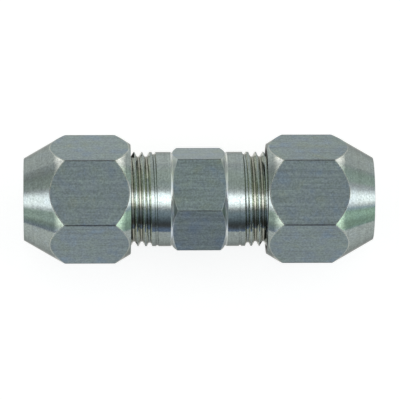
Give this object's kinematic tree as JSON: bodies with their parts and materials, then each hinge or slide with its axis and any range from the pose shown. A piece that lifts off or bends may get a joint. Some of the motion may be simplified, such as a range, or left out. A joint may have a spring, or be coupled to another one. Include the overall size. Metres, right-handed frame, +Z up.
{
  "type": "conduit compression coupling",
  "caption": "Straight compression coupling that joins conduit ends: hexagon body with threaded spigots, cone-nosed nuts, slip washers, split grip rings and rubber seals.",
  "frame": {"origin": "middle of the body on the bore's axis, which is the centre of the whole fitting", "axes": "+X along the bore towards the right nut, +Z up with the fitting lying on a flat of each nut"},
  "size_m": [0.082, 0.0304, 0.0264],
  "materials": {
    "body_zinc": "bright zinc plate over turned and drawn steel",
    "nut_zinc": "bright zinc plate over turned and drawn steel",
    "washer_steel": "bright rolled steel",
    "ring_steel": "hardened steel, lightly oiled",
    "seal_rubber": "black nitrile rubber"
  },
  "bodies": {
    "body": {"coupling_body": "body_zinc", "left_seal_ring": "seal_rubber", "right_seal_ring": "seal_rubber"},
    "left_washer": {"left_slip_washer": "washer_steel"},
    "left_ring": {"left_grip_ring": "ring_steel"},
    "left_nut": {"left_compression_nut": "nut_zinc"},
    "right_washer": {"right_slip_washer": "washer_steel"},
    "right_ring": {"right_grip_ring": "ring_steel"},
    "right_nut": {"right_compression_nut": "nut_zinc"}
  },
  "joints": [
    {"name": "left_washer_slide", "type": "slide", "parent": "body", "child": "left_washer", "axis": [1, 0, 0], "range_m": [-0.0109, 0.00183]},
    {"name": "left_ring_slide", "type": "slide", "parent": "body", "child": "left_ring", "axis": [1, 0, 0], "range_m": [-0.0109, 0.00183]},
    {"name": "left_nut_turn", "type": "hinge", "parent": "left_washer", "child": "left_nut", "pos_m": [-0.02852, 0, 0], "axis": [1, 0, 0], "range_deg": [-2160, 360]},
    {"name": "right_washer_slide", "type": "slide", "parent": "body", "child": "right_washer", "axis": [-1, 0, 0], "range_m": [-0.0109, 0.00183]},
    {"name": "right_ring_slide", "type": "slide", "parent": "body", "child": "right_ring", "axis": [-1, 0, 0], "range_m": [-0.0109, 0.00183]},
    {"name": "right_nut_turn", "type": "hinge", "parent": "right_washer", "child": "right_nut", "pos_m": [0.02852, 0, 0], "axis": [-1, 0, 0], "range_deg": [-2160, 360]}
  ],
  "couplings": [
    {"joint": "left_washer_slide", "follows": "left_nut_turn", "m_per_rad": 0.00028875},
    {"joint": "left_ring_slide", "follows": "left_nut_turn", "m_per_rad": 0.00028875},
    {"joint": "right_washer_slide", "follows": "right_nut_turn", "m_per_rad": 0.00028875},
    {"joint": "right_ring_slide", "follows": "right_nut_turn", "m_per_rad": 0.00028875}
  ]
}
